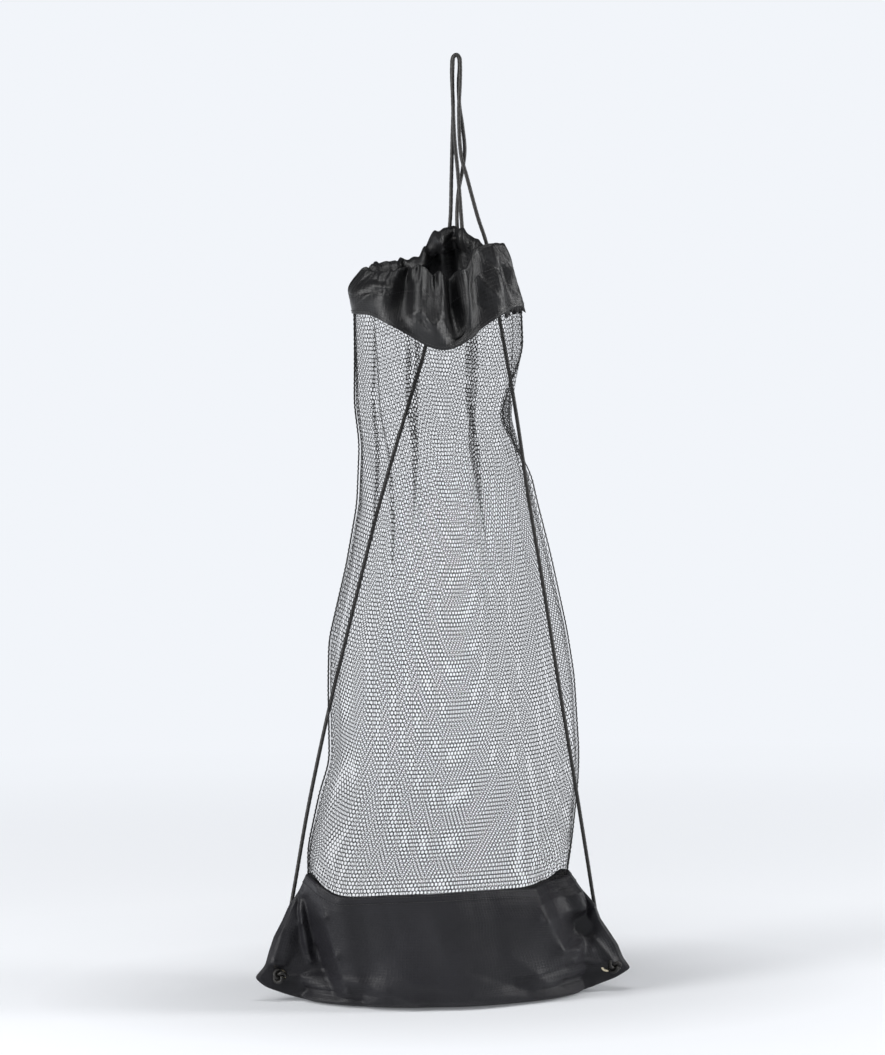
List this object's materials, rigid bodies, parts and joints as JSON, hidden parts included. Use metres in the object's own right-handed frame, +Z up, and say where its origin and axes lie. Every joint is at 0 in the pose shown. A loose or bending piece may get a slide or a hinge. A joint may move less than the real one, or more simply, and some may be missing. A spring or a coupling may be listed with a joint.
{
  "type": "mesh dive gear bag",
  "caption": "Hanging drawstring sack with a see-through net body, a fabric pouch at the foot and a gathered collar closed by a cord that ends at two corner eyelets.",
  "frame": {"origin": "where the doubled cord bears on the hook, rail or hand that holds the bag up, with the bag below it", "axes": "+Z up, -Y towards the bag's front, +X along the base panel to the viewer's right"},
  "size_m": [0.402, 0.1667, 0.9909],
  "materials": {
    "fabric": "satin ripstop weave",
    "collar_fabric": "satin plain weave",
    "net": "knitted net with small holes",
    "cord": "braided",
    "metal": "nickel plated"
  },
  "bodies": {
    "root": {"base_panel": "fabric", "mesh_front": "net", "mesh_back": "net", "collar": "collar_fabric", "channel_cord": "cord", "drawcord_left": "cord", "drawcord_right": "cord", "eyelet_left": "metal", "eyelet_right": "metal", "knot_left": "cord", "knot_right": "cord"}
  },
  "joints": []
}
